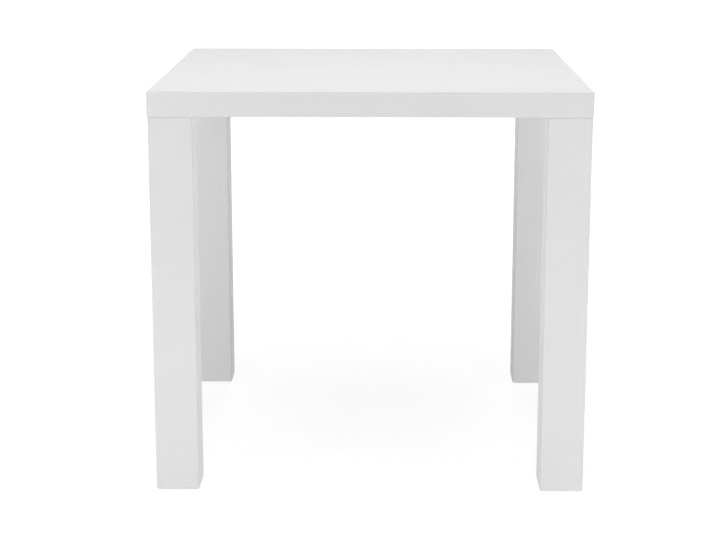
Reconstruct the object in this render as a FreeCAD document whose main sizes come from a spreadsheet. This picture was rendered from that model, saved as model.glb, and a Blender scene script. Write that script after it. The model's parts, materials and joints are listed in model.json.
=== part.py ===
import FreeCAD, Part
import math
import os
import re
import Sketcher

# Square dining table without an apron: a hollow lacquered slab on four hollow square legs.
# Each leg is screwed to a steel plate, the plate is let in flush under the slab and bolted to blocks
# inside it, and each leg stands on a screw foot that levels the table.
# Millimetres. The origin is on the floor under the middle of the top, with +Z up, +X to the right and
# the front of the table towards -Y.

SIZES = {
    # overall
    "table_width": 800,
    "table_depth": 800,
    "table_height": 750,
    "top_thickness": 46,
    # slab
    "casing_board": 9,
    "panel_thickness": 9,
    "top_edge_radius": 2,
    "top_corner_radius": 3,
    "rail_width": 40,
    "corner_block_size": 100,
    "core_cell": 60,
    "core_wall": 0.8,
    "glue_gap": 0.1,
    # legs
    "leg_size": 80,
    "leg_wall": 12,
    "leg_inset": 1.5,
    "leg_edge_radius": 2.5,
    "leg_top_chamfer": 1,
    "leg_foot_chamfer": 2,
    "leg_top_block_height": 80,
    "foot_block_height": 45,
    # leg plates
    "plate_thickness": 4,
    "plate_reach": 45,
    "plate_corner_cut": 40,
    "plate_corner_radius": 4,
    "recess_clearance": 0.3,
    # bolts from the plates into the slab, each bolt placed from the leg's axis or inner faces
    "bolt_diameter": 8,
    "bolt_across_flats": 13,
    "bolt_head_height": 5.3,
    "bolt_end_gap": 2,
    "bolt_reach": 25,
    "bolt_along": 22,
    "bolt_inner": 15,
    "hole_clearance": 0.5,
    "thread_gap": 0.05,
    "washer_diameter": 16,
    "washer_thickness": 1.6,
    "insert_diameter": 12,
    "insert_length": 16,
    # screws from the plates down into the legs
    "screw_diameter": 5,
    "screw_head_diameter": 10,
    "screw_length": 45,
    "screw_spacing": 28,
    # screw feet
    "foot_gap": 3,
    "pad_diameter": 30,
    "pad_rim": 4,
    "pad_chamfer": 1,
    "pad_floor": 3,
    "pad_lip": 2,
    "hub_diameter": 20,
    "swivel_gap": 0.08,
    "stem_diameter": 8,
    "stem_head_diameter": 13,
    "stem_head_height": 4,
    "stem_length": 30,
    "stem_chamfer": 1,
    "collar_across_flats": 14,
    "collar_height": 5,
    "rest_gap": 0.3,
    "foot_recess_diameter": 36,
    "foot_insert_length": 20,
    "stem_hole_clearance": 1,
}

# Formulas in the names above
UNDERSIDE = "(table_height - top_thickness)"
PANEL_TOP = f"({UNDERSIDE} + panel_thickness)"
CORE_HEIGHT = "(top_thickness - panel_thickness - casing_board)"
FRAME_WIDTH = "(table_width - 2 * casing_board - 2 * glue_gap)"
FRAME_DEPTH = "(table_depth - 2 * casing_board - 2 * glue_gap)"
BLOCK_START = "(casing_board + rail_width + 2 * glue_gap)"
LEG_LENGTH = f"({UNDERSIDE} - foot_gap)"
LEG_BORE = "(leg_size - 2 * leg_wall)"
PLUG_SIZE = f"({LEG_BORE} - 2 * glue_gap)"
LEG_AXIS_X = "(table_width / 2 - leg_inset - leg_size / 2)"
LEG_AXIS_Y = "(table_depth / 2 - leg_inset - leg_size / 2)"
BOLT_HOLE = "(bolt_diameter + 2 * hole_clearance)"
BOLT_LENGTH = "(washer_thickness + panel_thickness + insert_length - bolt_end_gap)"
INSERT_HOLE = "(insert_diameter + 2 * glue_gap)"
SCREW_HOLE = "(screw_diameter + 2 * hole_clearance)"
STEM_HEAD_BASE = "(pad_floor + swivel_gap)"
STEM_HEAD_TOP = f"({STEM_HEAD_BASE} + stem_head_height)"
HUB_TOP = f"({STEM_HEAD_TOP} + swivel_gap + pad_lip)"
COLLAR_BASE = f"({HUB_TOP} + rest_gap)"
COLLAR_TOP = f"({COLLAR_BASE} + collar_height)"
RECESS_ROOF = f"({COLLAR_TOP} + rest_gap)"

# Corner name, side along X, side along Y and the turn that points a corner piece inwards
CORNERS = (
    ("front_left", -1, -1, 0),
    ("front_right", 1, -1, 90),
    ("rear_right", 1, 1, 180),
    ("rear_left", -1, 1, 270),
)

# Places from a leg's axis, inwards along both edges of the top
PLATE_NEAR = f"(-{LEG_BORE} / 2)"
PLATE_FAR = "(leg_size / 2 + plate_reach)"
BOLT_PLACES = (
    ("leg_size / 2 + bolt_reach", "bolt_along"),
    ("bolt_along", "leg_size / 2 + bolt_reach"),
    ("leg_size / 2 + bolt_inner", "leg_size / 2 + bolt_inner"),
)
SCREW_PLACES = tuple(
    (f"{side} * screw_spacing / 2", f"{end} * screw_spacing / 2")
    for side in (-1, 1)
    for end in (-1, 1)
)

TOUCH = 0.001
Z_AXIS = FreeCAD.Vector(0, 0, 1)
ALIAS = re.compile(r"[a-z_]+")

doc = FreeCAD.newDocument("parsons_dining_table")
sizes = doc.addObject("Spreadsheet::Sheet", "sizes")
for line, (alias, number) in enumerate(SIZES.items(), 1):
    sizes.set(f"A{line}", alias)
    sizes.set(f"B{line}", str(number))
    sizes.setAlias(f"B{line}", alias)
doc.recompute()

sub_parts = []


# Formulas and placing

def with_sheet(formula):
    """The formula with each size written as a reference to its cell."""
    return ALIAS.sub(lambda word: f"sizes.{word[0]}" if word[0] in SIZES else word[0], formula)


def bind(item, path, formula):
    item.setExpression(path, with_sheet(formula))


def measure(formula):
    return float(sizes.evalExpression(with_sheet(formula)))


def place(item, x="0", y="0", z="0", turn=0):
    item.Placement = FreeCAD.Placement(FreeCAD.Vector(), FreeCAD.Rotation(Z_AXIS, turn))
    for axis, formula in zip("xyz", (x, y, z)):
        bind(item, f"Placement.Base.{axis}", formula)


def from_corner(side_x, side_y, inwards_x="0", inwards_y="0"):
    """X and Y of a point that lies inwards of a leg's axis."""
    return f"{side_x} * ({LEG_AXIS_X} - ({inwards_x}))", f"{side_y} * ({LEG_AXIS_Y} - ({inwards_y}))"


def place_at_corner(item, corner, z):
    _, side_x, side_y, turn = corner
    place(item, *from_corner(side_x, side_y), z, turn)


def all_corners(places):
    """The points of one corner, repeated at all four."""
    return [
        from_corner(side_x, side_y, *point)
        for _, side_x, side_y, _ in CORNERS
        for point in places
    ]


# Sketches and features

def start_body(label):
    body = doc.addObject("PartDesign::Body", label)
    body.Label = label
    return body


def start_sketch(body, role="XY_Plane", height="0"):
    sketch = body.newObject("Sketcher::SketchObject", "sketch")
    plane = next(item for item in body.Origin.OriginFeatures if item.Role == role)
    sketch.AttachmentSupport = [(plane, "")]
    sketch.MapMode = "FlatFace"
    bind(sketch, "AttachmentOffset.Base.z", height)
    return sketch


def hold_point(sketch, geometry, vertex, x, y):
    for kind, formula in (("DistanceX", x), ("DistanceY", y)):
        rule = Sketcher.Constraint(kind, -1, 1, geometry, vertex, measure(formula))
        hold(sketch, rule, f"{kind}_{geometry}", formula)


def hold(sketch, rule, name, formula):
    sketch.renameConstraint(sketch.addConstraint(rule), name)
    bind(sketch, f"Constraints.{name}", formula)


def draw_outline(sketch, points):
    """A closed outline of straight lines, every corner held by its own two formulas."""
    corners = [FreeCAD.Vector(measure(x), measure(y), 0) for x, y in points]
    first = sketch.GeometryCount
    for start, end in zip(corners, corners[1:] + corners[:1]):
        sketch.addGeometry(Part.LineSegment(start, end), False)
    count = len(points)
    for number, (x, y) in enumerate(points):
        following = first + (number + 1) % count
        sketch.addConstraint(Sketcher.Constraint("Coincident", first + number, 2, following, 1))
        hold_point(sketch, first + number, 1, x, y)


def draw_rectangle(sketch, width, depth):
    """A rectangle about the sketch's origin."""
    signs = ((-1, -1), (1, -1), (1, 1), (-1, 1))
    draw_outline(sketch, [(f"{x} * {width} / 2", f"{y} * {depth} / 2") for x, y in signs])


def draw_hexagon(sketch, across_flats):
    radius = f"{across_flats} / sqrt(3)"
    turns = range(0, 360, 60)
    draw_outline(sketch, [(f"{radius} * cos({turn} deg)", f"{radius} * sin({turn} deg)") for turn in turns])


def draw_circle(sketch, diameter, x="0", y="0"):
    centre = FreeCAD.Vector(measure(x), measure(y), 0)
    circle = sketch.addGeometry(Part.Circle(centre, Z_AXIS, measure(diameter) / 2), False)
    hold_point(sketch, circle, 3, x, y)
    rule = Sketcher.Constraint("Diameter", circle, measure(diameter))
    hold(sketch, rule, f"Diameter_{circle}", diameter)


def pad(body, sketch, length):
    feature = body.newObject("PartDesign::Pad", "pad")
    feature.Profile = sketch
    bind(feature, "Length", length)
    doc.recompute()


def pocket(body, sketch, depth, upwards=True):
    before = body.Tip.Shape.Volume
    feature = body.newObject("PartDesign::Pocket", "pocket")
    feature.Profile = sketch
    feature.Reversed = upwards
    bind(feature, "Length", depth)
    doc.recompute()
    if feature.Shape.Volume > before - TOUCH:
        raise RuntimeError(f"{body.Label}: a pocket removes nothing")


def revolve(body, points):
    """A turned solid: the points are radius and height."""
    sketch = start_sketch(body, "XZ_Plane")
    draw_outline(sketch, points)
    feature = body.newObject("PartDesign::Revolution", "revolution")
    feature.Profile = sketch
    feature.ReferenceAxis = (sketch, ["V_Axis"])
    doc.recompute()


def ease(body, kind, size_name, size, chosen):
    """A fillet or chamfer on the edges of the last feature that are chosen."""
    base = body.Tip
    names = [f"Edge{number}" for number, edge in enumerate(base.Shape.Edges, 1) if chosen(edge)]
    feature = body.newObject(f"PartDesign::{kind}", kind.lower())
    feature.Base = (base, names)
    bind(feature, size_name, size)
    doc.recompute()


def is_upright(edge):
    return edge.BoundBox.XLength < TOUCH and edge.BoundBox.YLength < TOUCH


def is_level(edge):
    return edge.BoundBox.ZLength < TOUCH


def lies_beyond(edge, half_width, half_depth):
    middle = edge.CenterOfMass
    return abs(middle.x) > half_width + TOUCH or abs(middle.y) > half_depth + TOUCH


def draw_tube(body, sizes_out, sizes_in, height, bore_depth, corner_radius):
    """A box with a bore from below and its outer uprights rounded; gives the test for its outer rims."""
    outline = start_sketch(body)
    draw_rectangle(outline, *sizes_out)
    pad(body, outline, height)
    bore = start_sketch(body)
    draw_rectangle(bore, *sizes_in)
    pocket(body, bore, bore_depth)
    half_in = [measure(size) / 2 for size in sizes_in]
    ease(body, "Fillet", "Radius", corner_radius,
         lambda edge: is_upright(edge) and lies_beyond(edge, *half_in))
    return lambda edge: is_level(edge) and lies_beyond(edge, *half_in)


# Slab

def make_top_casing():
    body = start_body("top_casing")
    inside = ("(table_width - 2 * casing_board)", "(table_depth - 2 * casing_board)")
    is_rim = draw_tube(body, ("table_width", "table_depth"), inside, "top_thickness",
                       "top_thickness - casing_board", "top_corner_radius")
    ease(body, "Fillet", "Radius", "top_edge_radius", is_rim)
    place(body, z=UNDERSIDE)
    sub_parts.append(body)


def plate_outline(clearance):
    """Square plate with its inner corner cut off, in places from the leg's axis."""
    near = f"({PLATE_NEAR} - {clearance})"
    far = f"({PLATE_FAR} + {clearance})"
    cut = f"({far} - plate_corner_cut)"
    return [(near, near), (far, near), (far, cut), (cut, far), (near, far)]


def make_bottom_panel():
    body = start_body("bottom_panel")
    outline = start_sketch(body)
    draw_rectangle(outline, FRAME_WIDTH, FRAME_DEPTH)
    pad(body, outline, "panel_thickness")
    recesses = start_sketch(body)
    for _, side_x, side_y, _ in CORNERS:
        points = [from_corner(side_x, side_y, *point) for point in plate_outline("recess_clearance")]
        draw_outline(recesses, points)
    pocket(body, recesses, "plate_thickness")
    holes = start_sketch(body)
    for x, y in all_corners(BOLT_PLACES):
        draw_circle(holes, BOLT_HOLE, x, y)
    pocket(body, holes, "panel_thickness")
    place(body, z=UNDERSIDE)
    sub_parts.append(body)


def make_rails():
    side_length = f"({FRAME_DEPTH} - 2 * rail_width - 2 * glue_gap)"
    across = f"({FRAME_WIDTH} / 2 - rail_width / 2)"
    along = f"({FRAME_DEPTH} / 2 - rail_width / 2)"
    rails = (
        ("front_rail", FRAME_WIDTH, "rail_width", "0", f"-{along}"),
        ("rear_rail", FRAME_WIDTH, "rail_width", "0", along),
        ("left_rail", "rail_width", side_length, f"-{across}", "0"),
        ("right_rail", "rail_width", side_length, across, "0"),
    )
    for label, width, depth, x, y in rails:
        body = start_body(label)
        outline = start_sketch(body)
        draw_rectangle(outline, width, depth)
        pad(body, outline, CORE_HEIGHT)
        place(body, x, y, PANEL_TOP)
        sub_parts.append(body)


def make_corner_block(corner):
    body = start_body(f"{corner[0]}_corner_block")
    near = f"({BLOCK_START} - leg_inset - leg_size / 2)"
    far = f"({near} + corner_block_size)"
    outline = start_sketch(body)
    draw_outline(outline, [(near, near), (far, near), (far, far), (near, far)])
    pad(body, outline, CORE_HEIGHT)
    holes = start_sketch(body)
    for x, y in BOLT_PLACES:
        draw_circle(holes, INSERT_HOLE, x, y)
    pocket(body, holes, "insert_length")
    place_at_corner(body, corner, PANEL_TOP)
    sub_parts.append(body)


def cross_face(half_width, half_depth, corner):
    """A flat rectangle about the origin with its four square corners left out."""
    step_x, step_y = half_width - corner, half_depth - corner
    steps = ((half_width, step_y), (step_x, step_y), (step_x, half_depth))
    points = []
    for side_x, side_y, order in ((1, 1, 1), (-1, 1, -1), (-1, -1, 1), (1, -1, -1)):
        points += [FreeCAD.Vector(side_x * x, side_y * y, 0) for x, y in steps[::order]]
    return Part.Face(Part.makePolygon(points + points[:1]))


def make_honeycomb_core():
    """Six-sided cells, cut off where they reach the rails and the corner blocks."""
    cell, wall = measure("core_cell"), measure("core_wall")
    half_width = measure(f"{FRAME_WIDTH} / 2 - rail_width - glue_gap")
    half_depth = measure(f"{FRAME_DEPTH} / 2 - rail_width - glue_gap")
    corner = measure("corner_block_size + glue_gap")
    sheet = cross_face(half_width, half_depth, corner)
    room = cross_face(half_width - wall, half_depth - wall, corner)
    hexagon = Part.Face(Part.makePolygon([
        FreeCAD.Vector(math.sin(turn), math.cos(turn), 0) * ((cell - wall) / math.sqrt(3))
        for turn in (number * math.pi / 3 for number in range(7))
    ]))
    row_step = cell * math.sqrt(3) / 2
    rows = math.ceil(half_depth / row_step)
    columns = math.ceil(half_width / cell)
    cells = []
    for row in range(-rows, rows + 1):
        for column in range(-columns, columns + 1):
            middle = FreeCAD.Vector((column + row % 2 / 2) * cell, row * row_step, 0)
            cells += hexagon.translated(middle).common(room).Faces
    openings = [face.OuterWire for face in cells if face.Area > cell * wall]
    core = doc.addObject("Part::Feature", "honeycomb_core")
    core.Label = "honeycomb_core"
    core.Shape = Part.Face([sheet.OuterWire] + openings).extrude(Z_AXIS * measure(CORE_HEIGHT))
    place(core, z=PANEL_TOP)
    sub_parts.append(core)


# Legs

def make_leg_casing(corner):
    body = start_body(f"{corner[0]}_leg_casing")
    is_rim = draw_tube(body, ("leg_size", "leg_size"), (LEG_BORE, LEG_BORE), LEG_LENGTH, LEG_LENGTH,
                       "leg_edge_radius")
    for chamfer, end in (("leg_foot_chamfer", 0), ("leg_top_chamfer", measure(LEG_LENGTH))):
        ease(body, "Chamfer", "Size", chamfer,
             lambda edge: is_rim(edge) and abs(edge.CenterOfMass.z - end) < TOUCH)
    place_at_corner(body, corner, "foot_gap")
    sub_parts.append(body)


def make_leg_top_block(corner):
    body = start_body(f"{corner[0]}_leg_top_block")
    outline = start_sketch(body)
    draw_rectangle(outline, PLUG_SIZE, PLUG_SIZE)
    pad(body, outline, "leg_top_block_height")
    holes = start_sketch(body, height="leg_top_block_height")
    for x, y in SCREW_PLACES:
        draw_circle(holes, "(screw_diameter + 2 * thread_gap)", x, y)
    pocket(body, holes, "screw_length - plate_thickness + rest_gap", upwards=False)
    place_at_corner(body, corner, f"{UNDERSIDE} - leg_top_block_height")
    sub_parts.append(body)


def make_leg_foot_block(corner):
    body = start_body(f"{corner[0]}_leg_foot_block")
    outline = start_sketch(body)
    draw_rectangle(outline, PLUG_SIZE, PLUG_SIZE)
    pad(body, outline, "foot_block_height")
    recess_depth = f"({RECESS_ROOF} - foot_gap)"
    stepped_bore = (
        ("foot_recess_diameter", recess_depth),
        (INSERT_HOLE, f"{recess_depth} + foot_insert_length"),
        ("(stem_diameter + 2 * stem_hole_clearance)", "foot_block_height"),
    )
    for diameter, depth in stepped_bore:
        bore = start_sketch(body)
        draw_circle(bore, diameter)
        pocket(body, bore, depth)
    place_at_corner(body, corner, "foot_gap")
    sub_parts.append(body)


def make_leg_plate(corner):
    body = start_body(f"{corner[0]}_leg_plate")
    outline = start_sketch(body)
    draw_outline(outline, plate_outline("0"))
    pad(body, outline, "plate_thickness")
    ease(body, "Fillet", "Radius", "plate_corner_radius", is_upright)
    holes = start_sketch(body)
    for x, y in BOLT_PLACES:
        draw_circle(holes, BOLT_HOLE, x, y)
    for x, y in SCREW_PLACES:
        draw_circle(holes, SCREW_HOLE, x, y)
    pocket(body, holes, "plate_thickness")
    rim, top = measure(SCREW_HOLE) / 2, measure("plate_thickness")

    def is_screw_hole_rim(edge):
        round_edge = isinstance(edge.Curve, Part.Circle) and abs(edge.Curve.Radius - rim) < TOUCH
        return round_edge and edge.BoundBox.ZMin > top - TOUCH

    ease(body, "Chamfer", "Size", "(screw_head_diameter - screw_diameter) / 2", is_screw_hole_rim)
    place_at_corner(body, corner, UNDERSIDE)
    sub_parts.append(body)


# Screw feet

def make_foot_stem(corner):
    """Captive head, neck, six-sided collar and stud, in heights above the floor."""
    body = start_body(f"{corner[0]}_foot_stem")
    top = f"({COLLAR_TOP} + stem_length)"
    radius = "(stem_diameter / 2)"
    head = "(stem_head_diameter / 2)"
    revolve(body, [
        ("0", STEM_HEAD_BASE),
        (head, STEM_HEAD_BASE),
        (head, STEM_HEAD_TOP),
        (radius, STEM_HEAD_TOP),
        (radius, f"{top} - stem_chamfer"),
        (f"{radius} - stem_chamfer", top),
        ("0", top),
    ])
    collar = start_sketch(body, height=COLLAR_BASE)
    draw_hexagon(collar, "collar_across_flats")
    pad(body, collar, "collar_height")
    place_at_corner(body, corner, "0")
    sub_parts.append(body)


def make_foot_pad(corner):
    """Round pad with a hub whose lip holds the head of the stem."""
    body = start_body(f"{corner[0]}_foot_pad")
    outer = "(pad_diameter / 2)"
    socket = "(stem_head_diameter / 2 + swivel_gap)"
    throat = "(stem_diameter / 2 + swivel_gap)"
    revolve(body, [
        ("0", "0"),
        (f"{outer} - pad_chamfer", "0"),
        (outer, "pad_chamfer"),
        (outer, "pad_rim"),
        ("hub_diameter / 2", f"{HUB_TOP} - pad_lip"),
        ("hub_diameter / 2", HUB_TOP),
        (throat, HUB_TOP),
        (throat, f"{HUB_TOP} - pad_lip"),
        (socket, f"{HUB_TOP} - pad_lip"),
        (socket, "pad_floor"),
        ("0", "pad_floor"),
    ])
    place_at_corner(body, corner, "0")
    sub_parts.append(body)


# Fasteners, in groups of equal pieces

def make_group(label, single, places, z):
    copies = []
    for x, y in places:
        copy = doc.addObject("App::Link", f"{label}_copy")
        copy.LinkedObject = single
        place(copy, x, y, z)
        copies.append(copy)
    group = doc.addObject("Part::Compound", label)
    group.Label = label
    group.Links = copies
    sub_parts.append(group)


def make_leg_bolts():
    single = start_body("leg_bolt")
    head = start_sketch(single, height="-bolt_head_height")
    draw_hexagon(head, "bolt_across_flats")
    pad(single, head, "bolt_head_height")
    shank = start_sketch(single)
    draw_circle(shank, "bolt_diameter")
    pad(single, shank, BOLT_LENGTH)
    make_group("leg_bolts", single, all_corners(BOLT_PLACES), f"{UNDERSIDE} - washer_thickness")


def make_ring(label, bore, diameter, height):
    single = start_body(label)
    outline = start_sketch(single)
    draw_circle(outline, diameter)
    draw_circle(outline, bore)
    pad(single, outline, height)
    return single


def make_bolt_washers():
    single = make_ring("bolt_washer", BOLT_HOLE, "washer_diameter", "washer_thickness")
    make_group("bolt_washers", single, all_corners(BOLT_PLACES), f"{UNDERSIDE} - washer_thickness")


def make_top_inserts():
    bore = "(bolt_diameter + 2 * thread_gap)"
    single = make_ring("top_insert", bore, "insert_diameter", "insert_length")
    make_group("top_inserts", single, all_corners(BOLT_PLACES), PANEL_TOP)


def make_foot_inserts():
    bore = "(stem_diameter + 2 * thread_gap)"
    single = make_ring("foot_insert", bore, "insert_diameter", "foot_insert_length")
    make_group("foot_inserts", single, all_corners([("0", "0")]), RECESS_ROOF)


def make_plate_screws():
    single = start_body("plate_screw")
    head, radius = "(screw_head_diameter / 2)", "(screw_diameter / 2)"
    revolve(single, [
        ("0", "-screw_length"),
        (radius, "-screw_length"),
        (radius, f"{radius} - {head}"),
        (head, "0"),
        ("0", "0"),
    ])
    make_group("plate_screws", single, all_corners(SCREW_PLACES), f"{UNDERSIDE} + plate_thickness")


# Whole table

def write_parts():
    doc.recompute()
    failed = [item.Label for item in doc.Objects if {"Invalid", "Error"} & set(item.State)]
    failed += [item.Label for item in sub_parts if item.Shape.isNull() or not item.Shape.isValid()]
    if failed:
        raise RuntimeError("not built: " + ", ".join(failed))
    os.makedirs("parts", exist_ok=True)
    for item in sub_parts:
        item.Shape.exportStep(f"parts/{item.Label}.step")


make_top_casing()
make_bottom_panel()
make_rails()
make_honeycomb_core()
for table_corner in CORNERS:
    make_corner_block(table_corner)
    make_leg_casing(table_corner)
    make_leg_top_block(table_corner)
    make_leg_foot_block(table_corner)
    make_leg_plate(table_corner)
    make_foot_stem(table_corner)
    make_foot_pad(table_corner)
make_top_inserts()
make_foot_inserts()
make_leg_bolts()
make_bolt_washers()
make_plate_screws()
write_parts()
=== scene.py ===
import json
import math

import bmesh
import bpy
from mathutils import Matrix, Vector


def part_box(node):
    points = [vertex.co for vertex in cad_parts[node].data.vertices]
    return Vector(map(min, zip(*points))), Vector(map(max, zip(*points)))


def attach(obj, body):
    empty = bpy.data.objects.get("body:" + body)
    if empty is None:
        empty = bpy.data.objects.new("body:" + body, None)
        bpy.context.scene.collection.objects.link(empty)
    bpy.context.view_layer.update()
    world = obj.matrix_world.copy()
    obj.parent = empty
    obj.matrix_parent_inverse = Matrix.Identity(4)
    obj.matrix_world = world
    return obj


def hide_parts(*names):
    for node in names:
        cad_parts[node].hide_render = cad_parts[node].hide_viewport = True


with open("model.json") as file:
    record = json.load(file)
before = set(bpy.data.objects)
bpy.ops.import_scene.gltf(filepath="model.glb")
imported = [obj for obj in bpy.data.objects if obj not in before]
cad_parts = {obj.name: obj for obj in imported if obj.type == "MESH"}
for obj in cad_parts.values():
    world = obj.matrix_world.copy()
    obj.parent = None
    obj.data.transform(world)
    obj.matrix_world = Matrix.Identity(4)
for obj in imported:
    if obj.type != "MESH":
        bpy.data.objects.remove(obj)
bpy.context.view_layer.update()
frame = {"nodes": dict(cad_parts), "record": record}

# A square white dining table: materials for all its pieces, finer bolts, washers and screw feet under it,
# a white floor, soft studio light and the photograph's viewpoint. Metres.

SCENE = bpy.context.scene
MM = 0.001
CORNERS = ("front_left", "front_right", "rear_right", "rear_left")

# Fasteners under the top
BOLT_RADIUS = 4 * MM
BOLT_HEAD_HEIGHT = 5.3 * MM
BOLT_END_CHAMFER = 1 * MM
HEX_FLAT_SHARE = 0.95
HEX_CHAMFER_SLOPE = math.tan(math.radians(30))
WASHER_BORE = 9 * MM
WASHER_ROUNDING = 0.4 * MM

# Screw feet, with heights above the floor
STEM_HEAD_BASE = 3.08 * MM
STEM_HEAD_TOP = 7.08 * MM
STEM_HEAD_RADIUS = 6.5 * MM
STEM_RADIUS = 4 * MM
COLLAR_BASE = 9.46 * MM
COLLAR_TOP = 14.46 * MM
COLLAR_ACROSS_FLATS = 14 * MM
THREAD_PITCH = 1.25 * MM
THREAD_DEPTH = 0.68 * MM
THREAD_STEPS = 6
PAD_CHAMFER = 1 * MM
PAD_RIM = 4 * MM
PAD_FLOOR = 3 * MM
PAD_LIP = 2 * MM
PAD_DISH_RADIUS = 9 * MM
PAD_DISH_DEPTH = 0.5 * MM
FOOT_ROUNDING = 0.8 * MM
HUB_RADIUS = 10 * MM
SWIVEL_GAP = 0.08 * MM

# Fineness of the meshes
SEGMENTS = 72
ROUNDING_STEPS = 4
ROUNDING_SHARE = 0.45
SMOOTH_BELOW = math.radians(32)
WELD_DISTANCE = 0.001 * MM

# Heights of the scuffs on the legs
SCUFFS_FULL = 3 * MM
SCUFFS_GONE = 45 * MM

# Viewpoint of the photograph
CAMERA_PLACE = (0.0253, -3.5308, 1.1285)
CAMERA_PITCH = math.radians(12.66)
CAMERA_TURN = math.radians(0.85)
CAMERA_LENS = 88.68

# Floor, whose glow grows with the distance from the table's middle
FLOOR_RADIUS = 40
FLOOR_COLOUR = 0.92
FLOOR_SHADE = 0.3
NEAR_GLOW = 0.83
FAR_GLOW = 1
GLOW_START = 0.8
GLOW_END = 1.8

# Light
AMBIENT = 0.1
SIDE_LIGHT = {"size": (1.2, 0.4), "power": 28}
SOFTBOXES = {
    "overhead_softbox": {"place": (0, -0.6, 3), "target": (0, -0.3, 0.6), "size": (3, 3), "power": 61},
    "rear_softbox": {
        "place": (0, 8, 3), "target": (0, 0.3, 0.35), "size": (2, 2), "power": 220, "mirrored": False,
    },
    "left_softbox": {"place": (-2.2, -2, 0.25), "target": (-1.9, -1.73, 0), **SIDE_LIGHT},
    "right_softbox": {"place": (2.2, -2, 0.25), "target": (1.9, -1.73, 0), **SIDE_LIGHT},
}


# Shader nodes

def add_node(tree, kind, inputs=None, **settings):
    """A node whose inputs are constants or links from another node's output."""
    node = tree.nodes.new(kind)
    for name, value in settings.items():
        setattr(node, name, value)
    for socket, value in (inputs or {}).items():
        if isinstance(value, bpy.types.NodeSocket):
            tree.links.new(value, node.inputs[socket])
        else:
            node.inputs[socket].default_value = value
    return node


def add_noise(tree, place, scale, detail):
    inputs = {"Vector": place, "Scale": scale, "Detail": detail}
    return add_node(tree, "ShaderNodeTexNoise", inputs).outputs[0]


def spread(tree, value, low, high, start=0.3, end=0.7):
    """The value, stretched from start to end over low to high."""
    levels = {"Value": value, "From Min": start, "From Max": end, "To Min": low, "To Max": high}
    return add_node(tree, "ShaderNodeMapRange", levels).outputs["Result"]


def combine(tree, operation, first, second):
    return add_node(tree, "ShaderNodeMath", {0: first, 1: second}, operation=operation).outputs[0]


def mix_colours(tree, share, first, second):
    """A mix node has several sockets of the same name, so its colour sockets go by number."""
    colours = {0: share, 6: first, 7: second}
    return add_node(tree, "ShaderNodeMix", colours, data_type="RGBA").outputs[2]


def stretch(tree, place, scale):
    return add_node(tree, "ShaderNodeMapping", {"Vector": place, "Scale": scale}).outputs[0]


def grey(level):
    return (level, level, level, 1)


def start_material(name, constants):
    """A material with a Principled shader, and the place of each point in the part's frame."""
    material = bpy.data.materials.new(name)
    material.use_nodes = True
    tree = material.node_tree
    shader = tree.nodes["Principled BSDF"]
    for socket, value in constants.items():
        shader.inputs[socket].default_value = value
    place = add_node(tree, "ShaderNodeTexCoord").outputs["Object"]
    return material, tree, shader, place


def finish_material(tree, shader, colour, roughness, height, depth, strength):
    """Links colour and roughness, and the height as bumps of that depth."""
    bumps = {"Height": height, "Distance": depth, "Strength": strength}
    normal = add_node(tree, "ShaderNodeBump", bumps).outputs[0]
    for socket, value in (("Base Color", colour), ("Roughness", roughness), ("Normal", normal)):
        tree.links.new(value, shader.inputs[socket])


# Materials

def make_white_lacquer():
    """Sprayed lacquer: faint clouding, fine orange peel and very light scuffs at the foot of the legs."""
    constants = {"IOR": 1.5, "Specular IOR Level": 0.18}
    material, tree, shader, place = start_material("white_lacquer", constants)
    clouds = spread(tree, add_noise(tree, place, scale=5, detail=3), low=0, high=1)
    clean = mix_colours(tree, clouds, grey(0.835), grey(0.855))
    height = add_node(tree, "ShaderNodeSeparateXYZ", {0: place}).outputs["Z"]
    low_down = spread(tree, height, low=1, high=0, start=SCUFFS_FULL, end=SCUFFS_GONE)
    streaks = add_noise(tree, stretch(tree, place, (60, 60, 220)), scale=1, detail=4)
    marks = spread(tree, streaks, low=0, high=0.22, start=0.52, end=0.75)
    scuffs = combine(tree, "MULTIPLY", low_down, marks)
    colour = mix_colours(tree, scuffs, clean, (0.66, 0.655, 0.645, 1))
    sheen = spread(tree, add_noise(tree, place, scale=28, detail=3), low=0.38, high=0.46)
    roughness = combine(tree, "ADD", sheen, scuffs)
    orange_peel = add_noise(tree, place, scale=420, detail=1.5)
    finish_material(tree, shader, colour, roughness, orange_peel, depth=0.4 * MM, strength=0.06)
    return material


def make_backing_board():
    """Matt white backing with short paper fibres that show through."""
    material, tree, shader, place = start_material("backing_board", {"IOR": 1.45})
    fibres = add_noise(tree, stretch(tree, place, (90, 420, 90)), scale=1, detail=5)
    tone = spread(tree, fibres, low=0, high=1, start=0.35, end=0.7)
    colour = mix_colours(tree, tone, (0.78, 0.78, 0.765, 1), (0.83, 0.83, 0.82, 1))
    roughness = spread(tree, fibres, low=0.68, high=0.82)
    finish_material(tree, shader, colour, roughness, fibres, depth=0.4 * MM, strength=0.25)
    return material


def make_raw_board():
    """Pressed wood chips: each chip has its own brown and its own height."""
    material, tree, shader, place = start_material("raw_board", {"IOR": 1.45})
    flat = stretch(tree, place, (260, 420, 900))
    chips = add_node(tree, "ShaderNodeTexVoronoi", {"Vector": flat, "Scale": 1.0}).outputs
    chip = add_node(tree, "ShaderNodeSeparateXYZ", {0: chips["Color"]}).outputs["X"]
    colour = mix_colours(tree, chip, (0.36, 0.235, 0.13, 1), (0.62, 0.46, 0.3, 1))
    roughness = spread(tree, chip, low=0.8, high=0.92, start=0, end=1)
    finish_material(tree, shader, colour, roughness, chips["Distance"], depth=0.6 * MM, strength=0.5)
    return material


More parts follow.
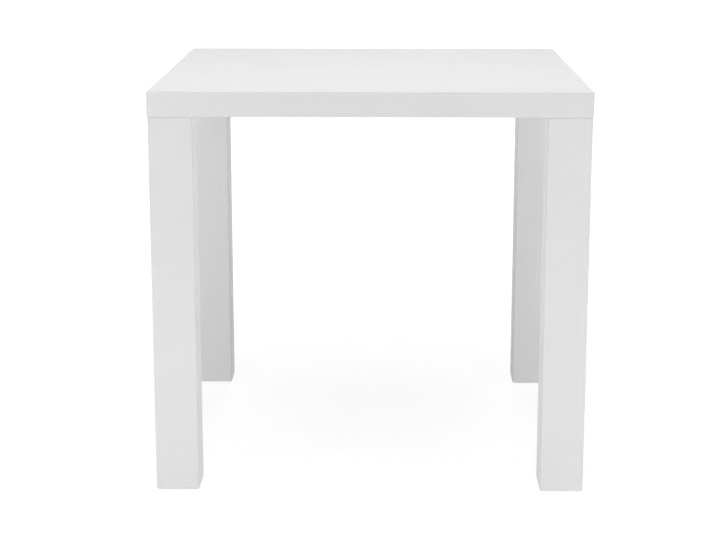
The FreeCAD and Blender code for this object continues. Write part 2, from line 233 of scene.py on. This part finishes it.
def make_kraft_paper():
    """Brown paper with long pale fibres."""
    material, tree, shader, place = start_material("kraft_paper", {"IOR": 1.45})
    fibres = add_noise(tree, stretch(tree, place, (500, 500, 110)), scale=1, detail=6)
    tone = spread(tree, fibres, low=0, high=1, start=0.35, end=0.72)
    colour = mix_colours(tree, tone, (0.4, 0.27, 0.155, 1), (0.56, 0.41, 0.265, 1))
    roughness = spread(tree, fibres, low=0.78, high=0.9)
    finish_material(tree, shader, colour, roughness, fibres, depth=0.3 * MM, strength=0.35)
    return material


def make_zinc_steel():
    """Bright zinc plate over rolled steel: fine streaks and a faint blue to straw tint."""
    material, tree, shader, place = start_material("zinc_steel", {"Metallic": 1.0})
    streaks = add_noise(tree, stretch(tree, place, (60, 900, 900)), scale=1, detail=3)
    tint = spread(tree, add_noise(tree, place, scale=70, detail=2), low=0, high=1)
    colour = mix_colours(tree, tint, (0.62, 0.65, 0.69, 1), (0.7, 0.69, 0.65, 1))
    roughness = spread(tree, streaks, low=0.26, high=0.42)
    finish_material(tree, shader, colour, roughness, streaks, depth=0.1 * MM, strength=0.2)
    return material


def make_nylon():
    """Black moulded nylon with a fine eroded grain, rubbed a little paler in places."""
    material, tree, shader, place = start_material("nylon", {"IOR": 1.53})
    rubbed = spread(tree, add_noise(tree, place, scale=160, detail=4), low=0, high=1, start=0.4, end=0.8)
    colour = mix_colours(tree, rubbed, (0.012, 0.012, 0.013, 1), (0.035, 0.035, 0.036, 1))
    roughness = spread(tree, rubbed, low=0.42, high=0.6, start=0, end=1)
    grain = add_noise(tree, place, scale=2200, detail=2)
    finish_material(tree, shader, colour, roughness, grain, depth=0.1 * MM, strength=0.35)
    return material


MATERIALS = {
    "white_lacquer": make_white_lacquer(),
    "backing_board": make_backing_board(),
    "raw_board": make_raw_board(),
    "kraft_paper": make_kraft_paper(),
    "zinc_steel": make_zinc_steel(),
    "nylon": make_nylon(),
}


def paint_nodes():
    for part in frame["record"]["subparts"]:
        for slot in frame["nodes"][part["node"]].material_slots:
            slot.material = MATERIALS[part["material_slot"]]


# Meshes

def make_ring(radius, height, middle=(0, 0)):
    """Points round an upright axis; radius and height are lengths, or rules that give them for a turn."""
    points = []
    for number in range(SEGMENTS):
        turn = math.tau * number / SEGMENTS
        reach = radius(turn) if callable(radius) else radius
        rise = height(turn) if callable(height) else height
        points.append((middle[0] + reach * math.cos(turn), middle[1] + reach * math.sin(turn), rise))
    return points


def turn_profile(profile, middle):
    """A ring for each point of a profile, given as radius and height."""
    return [make_ring(radius, height, middle) for radius, height in profile]


def skin_rings(mesh, rings, hollow=False):
    """Faces from ring to ring, and from the last to the first on a hollow piece, or else end caps."""
    loops = [[mesh.verts.new(point) for point in ring] for ring in rings]
    pairs = list(zip(loops, loops[1:]))
    if hollow:
        pairs.append((loops[-1], loops[0]))
    else:
        mesh.faces.new(reversed(loops[0]))
        mesh.faces.new(loops[-1])
    for lower, upper in pairs:
        for number in range(SEGMENTS):
            side = (lower[number - 1], lower[number], upper[number], upper[number - 1])
            mesh.faces.new(side)


def round_profile(points, rounding, closed):
    """The profile with each corner turned into a short curve, apart from the ends of an open one."""
    corners = [Vector(point) for point in points]
    rounded = []
    for number, corner in enumerate(corners):
        if not closed and number in (0, len(corners) - 1):
            rounded.append(corner)
            continue
        before = corners[number - 1] - corner
        after = corners[(number + 1) % len(corners)] - corner
        reach = min(rounding, before.length * ROUNDING_SHARE, after.length * ROUNDING_SHARE)
        start = corner + before.normalized() * reach
        end = corner + after.normalized() * reach
        for step in range(ROUNDING_STEPS + 1):
            share = step / ROUNDING_STEPS
            rounded.append(start.lerp(corner, share).lerp(corner.lerp(end, share), share))
    return rounded


def hexagon_radius(across_flats):
    """The rule for a six-sided ring with a corner on the X axis."""
    sixth = math.tau / 6
    return lambda turn: across_flats / 2 / math.cos(turn % sixth - sixth / 2)


def hexagon_face(across_flats):
    """Radius of the round face that is left on a six-sided head with turned-off corners."""
    return across_flats / 2 * HEX_FLAT_SHARE


def chamfer_drop(across_flats):
    """The rule for how far the rim of such a head lies behind its face."""
    radius, face = hexagon_radius(across_flats), hexagon_face(across_flats)
    return lambda turn: (radius(turn) - face) * HEX_CHAMFER_SLOPE


def add_piece(name, mesh, body, slot, nodes):
    """A finished piece that stands for those CAD nodes and moves with that body."""
    bmesh.ops.recalc_face_normals(mesh, faces=mesh.faces)
    data = bpy.data.meshes.new(name)
    mesh.to_mesh(data)
    mesh.free()
    data.shade_smooth()
    data.set_sharp_from_angle(angle=SMOOTH_BELOW)
    data.materials.append(MATERIALS[slot])
    piece = bpy.data.objects.new(name, data)
    SCENE.collection.objects.link(piece)
    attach(piece, body)
    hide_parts(*nodes)


def find_box(places):
    """Lowest and highest corner of some points."""
    return [Vector(pick(place[axis] for place in places) for axis in range(3)) for pick in (min, max)]


def solid_boxes(node):
    """Lowest and highest corner of each separate solid in a CAD node."""
    mesh = bmesh.new()
    mesh.from_mesh(frame["nodes"][node].data)
    bmesh.ops.remove_doubles(mesh, verts=mesh.verts, dist=WELD_DISTANCE)
    left = set(mesh.verts)
    boxes = []
    for first in mesh.verts:
        if first not in left:
            continue
        left.remove(first)
        found = [first]
        for vertex in found:
            joined = {edge.other_vert(vertex) for edge in vertex.link_edges} & left
            left -= joined
            found += joined
        boxes.append(find_box([vertex.co for vertex in found]))
    mesh.free()
    return boxes


# Fasteners under the top

def add_bolt(mesh, low, high):
    """Six-sided head with turned-off corners below, and a shank with a chamfered end."""
    middle = (low + high).xy / 2
    across_flats = high.y - low.y
    head = hexagon_radius(across_flats)
    drop = chamfer_drop(across_flats)
    head_top = low.z + BOLT_HEAD_HEIGHT
    skin_rings(mesh, [
        make_ring(hexagon_face(across_flats), low.z, middle),
        make_ring(head, lambda turn: low.z + drop(turn), middle),
        make_ring(head, head_top, middle),
        make_ring(BOLT_RADIUS, head_top, middle),
        make_ring(BOLT_RADIUS, high.z - BOLT_END_CHAMFER, middle),
        make_ring(BOLT_RADIUS - BOLT_END_CHAMFER, high.z, middle),
    ])


def add_washer(mesh, low, high):
    middle = (low + high).xy / 2
    outer, inner = (high.x - low.x) / 2, WASHER_BORE / 2
    section = [(outer, low.z), (outer, high.z), (inner, high.z), (inner, low.z)]
    rounded = round_profile(section, WASHER_ROUNDING, closed=True)
    skin_rings(mesh, turn_profile(rounded, middle), hollow=True)


def make_fasteners():
    for node, add_one in (("leg_bolts", add_bolt), ("bolt_washers", add_washer)):
        mesh = bmesh.new()
        for low, high in solid_boxes(node):
            add_one(mesh, low, high)
        add_piece(f"{node}_detailed", mesh, "table", "zinc_steel", [node])


# Screw feet

def thread_radius(height):
    """The rule for a ring that cuts a right-hand thread at that height."""
    def radius(turn):
        phase = (height / THREAD_PITCH - turn / math.tau) % 1
        return STEM_RADIUS - THREAD_DEPTH * abs(2 * phase - 1)
    return radius


def make_collar_rings(middle):
    """Six-sided collar with its corners turned off above and below."""
    collar = hexagon_radius(COLLAR_ACROSS_FLATS)
    face = hexagon_face(COLLAR_ACROSS_FLATS)
    drop = chamfer_drop(COLLAR_ACROSS_FLATS)
    return [
        make_ring(face, COLLAR_BASE, middle),
        make_ring(collar, lambda turn: COLLAR_BASE + drop(turn), middle),
        make_ring(collar, lambda turn: COLLAR_TOP - drop(turn), middle),
        make_ring(face, COLLAR_TOP, middle),
    ]


def make_thread_rings(top, middle):
    """Threaded stud above the collar, with a narrowed end."""
    step = THREAD_PITCH / THREAD_STEPS
    count = int((top - THREAD_PITCH - COLLAR_TOP) / step)
    heights = [COLLAR_TOP + number * step for number in range(count + 1)]
    rings = [make_ring(thread_radius(height), height, middle) for height in heights]
    return rings + [make_ring(STEM_RADIUS - THREAD_PITCH, top, middle)]


def make_foot_stem(corner):
    """Captive head, neck and six-sided collar under a threaded stud."""
    node = f"{corner}_foot_stem"
    low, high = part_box(node)
    middle = (low + high).xy / 2
    head_and_neck = [
        (STEM_HEAD_RADIUS / 2, STEM_HEAD_BASE),
        (STEM_HEAD_RADIUS, STEM_HEAD_BASE),
        (STEM_HEAD_RADIUS, STEM_HEAD_TOP),
        (STEM_RADIUS, STEM_HEAD_TOP),
        (STEM_RADIUS, COLLAR_BASE),
    ]
    rings = turn_profile(round_profile(head_and_neck, FOOT_ROUNDING, closed=False), middle)
    mesh = bmesh.new()
    skin_rings(mesh, rings + make_collar_rings(middle) + make_thread_rings(high.z, middle))
    add_piece(f"{node}_threaded", mesh, node, "zinc_steel", [node])


def make_foot_pad(corner):
    """Moulded pad with a dished underside and a hub that grips the head of the stem."""
    node = f"{corner}_foot_pad"
    low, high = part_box(node)
    middle = (low + high).xy / 2
    outer = (high.x - low.x) / 2
    throat = STEM_RADIUS + SWIVEL_GAP
    socket = STEM_HEAD_RADIUS + SWIVEL_GAP
    lip_base = high.z - PAD_LIP
    section = [
        (PAD_DISH_RADIUS / 2, PAD_DISH_DEPTH),
        (PAD_DISH_RADIUS, PAD_DISH_DEPTH),
        (PAD_DISH_RADIUS + PAD_DISH_DEPTH, low.z),
        (outer - PAD_CHAMFER, low.z),
        (outer, PAD_CHAMFER),
        (outer, PAD_RIM),
        (HUB_RADIUS, lip_base),
        (HUB_RADIUS, high.z),
        (throat, high.z),
        (throat, lip_base),
        (socket, lip_base),
        (socket, PAD_FLOOR),
        (socket / 2, PAD_FLOOR),
    ]
    mesh = bmesh.new()
    skin_rings(mesh, turn_profile(round_profile(section, FOOT_ROUNDING, closed=False), middle))
    add_piece(f"{node}_moulded", mesh, node, "nylon", [node])


# Studio

def add_seen_share(tree):
    """One for what the camera sees straight, in a reflection or through glass, and nought elsewhere."""
    path = add_node(tree, "ShaderNodeLightPath").outputs
    reflected = combine(tree, "ADD", path["Is Camera Ray"], path["Is Glossy Ray"])
    return combine(tree, "ADD", reflected, path["Is Transmission Ray"])


def make_floor_material():
    """White with the table's soft shadow, which a weaker glow near the table lets show; clear from below."""
    material = bpy.data.materials.new("studio_floor")
    material.use_nodes = True
    tree = material.node_tree
    tree.nodes.clear()
    surface = add_node(tree, "ShaderNodeNewGeometry").outputs
    distance = add_node(tree, "ShaderNodeVectorMath", {0: surface["Position"]}, operation="LENGTH")
    level = spread(tree, distance.outputs["Value"], NEAR_GLOW, FAR_GLOW, GLOW_START, GLOW_END)
    glow = add_node(tree, "ShaderNodeEmission", {"Color": grey(1), "Strength": level}).outputs[0]
    shade = add_node(tree, "ShaderNodeBsdfDiffuse", {"Color": grey(FLOOR_SHADE)}).outputs[0]
    plain = add_node(tree, "ShaderNodeBsdfDiffuse", {"Color": grey(FLOOR_COLOUR)}).outputs[0]
    seen = add_node(tree, "ShaderNodeAddShader", {0: glow, 1: shade}).outputs[0]
    upper = add_node(tree, "ShaderNodeMixShader", {0: add_seen_share(tree), 1: plain, 2: seen}).outputs[0]
    clear = add_node(tree, "ShaderNodeBsdfTransparent").outputs[0]
    both = add_node(tree, "ShaderNodeMixShader", {0: surface["Backfacing"], 1: upper, 2: clear}).outputs[0]
    add_node(tree, "ShaderNodeOutputMaterial", {"Surface": both})
    return material


def make_floor():
    mesh = bmesh.new()
    mesh.faces.new([mesh.verts.new(point) for point in make_ring(FLOOR_RADIUS, 0)])
    data = bpy.data.meshes.new("studio_floor")
    mesh.to_mesh(data)
    mesh.free()
    data.materials.append(make_floor_material())
    floor = bpy.data.objects.new("studio_floor", data)
    SCENE.collection.objects.link(floor)


def make_world():
    """White to the eye, and a softer light on the table."""
    world = bpy.data.worlds.new("studio")
    world.use_nodes = True
    tree = world.node_tree
    extra = combine(tree, "MULTIPLY", add_seen_share(tree), 1 - AMBIENT)
    strength = combine(tree, "ADD", extra, AMBIENT)
    background = tree.nodes["Background"]
    background.inputs["Color"].default_value = grey(1)
    tree.links.new(strength, background.inputs["Strength"])
    SCENE.world = world


def add_softbox(name, place, target, size, power, mirrored=True):
    """A soft lamp, which glossy surfaces mirror unless it is only a fill."""
    lamp = bpy.data.lights.new(name, "AREA")
    lamp.shape = "RECTANGLE"
    lamp.size, lamp.size_y = size
    lamp.energy = power
    softbox = bpy.data.objects.new(name, lamp)
    softbox.location = place
    softbox.rotation_euler = (Vector(target) - Vector(place)).to_track_quat("-Z", "Y").to_euler()
    softbox.visible_camera = False
    softbox.visible_glossy = mirrored
    SCENE.collection.objects.link(softbox)


def make_camera():
    camera = bpy.data.objects.new("camera", bpy.data.cameras.new("camera"))
    camera.data.lens = CAMERA_LENS
    camera.location = CAMERA_PLACE
    camera.rotation_euler = (math.pi / 2 - CAMERA_PITCH, 0, CAMERA_TURN)
    SCENE.collection.objects.link(camera)
    SCENE.camera = camera


paint_nodes()
make_fasteners()
for table_corner in CORNERS:
    make_foot_stem(table_corner)
    make_foot_pad(table_corner)

make_floor()
make_world()
for softbox_name, settings in SOFTBOXES.items():
    add_softbox(softbox_name, **settings)
make_camera()
SCENE.view_settings.view_transform = "Standard"
